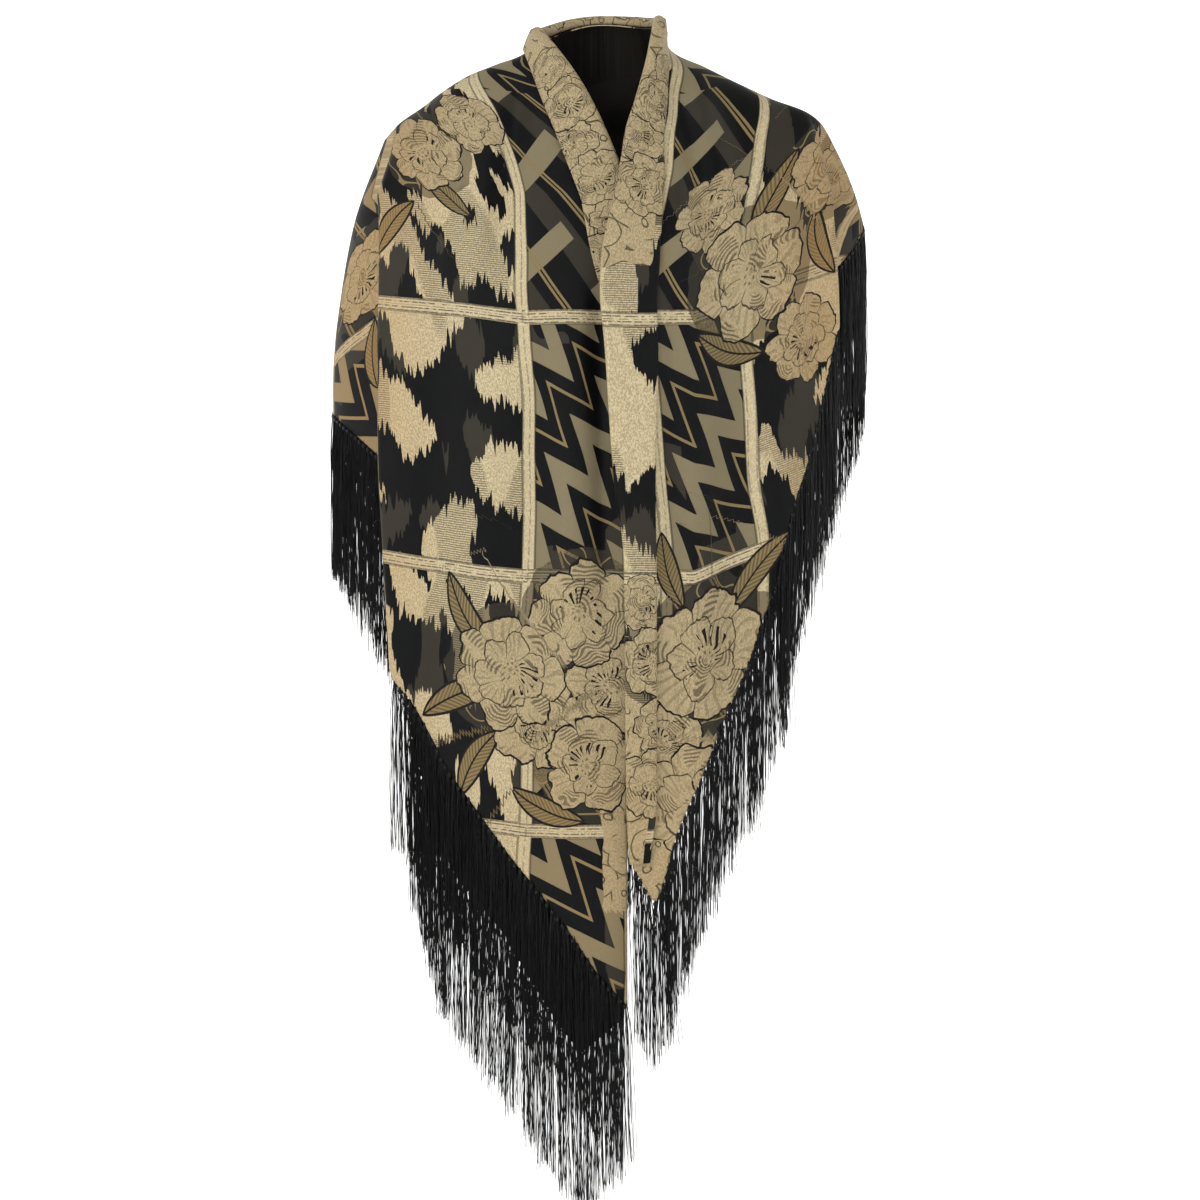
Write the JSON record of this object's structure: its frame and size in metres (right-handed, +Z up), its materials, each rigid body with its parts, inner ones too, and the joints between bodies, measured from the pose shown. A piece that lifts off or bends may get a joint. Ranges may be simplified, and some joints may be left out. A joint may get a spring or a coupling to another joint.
{
  "type": "shawl",
  "caption": "Square jacquard shawl folded near its diagonal, worn round the shoulders with both ends hanging in front and a knotted fringe on every edge.",
  "frame": {"origin": "between the wearer's shoulders, at the foot of the neck, where the cloth lies on the shoulder line", "axes": "+X to the wearer's left, -Y to the wearer's front, +Z up"},
  "size_m": [0.5195, 0.2948, 1.1489],
  "materials": {
    "jacquard": "woven viscose, soft sheen",
    "reverse": "woven viscose, matt",
    "fringe": "twisted viscose, silky"
  },
  "bodies": {
    "root": {"right_front": "jacquard", "right_arm": "jacquard", "back": "jacquard", "left_arm": "jacquard", "left_front": "jacquard", "right_roll": "jacquard", "nape_roll": "jacquard", "left_band": "jacquard", "under_layer": "reverse", "fringe_right_front": "fringe", "fringe_left_front": "fringe", "fringe_right_arm": "fringe", "fringe_left_arm": "fringe", "fringe_back_right": "fringe", "fringe_back_left": "fringe", "fringe_under": "fringe"}
  },
  "joints": []
}
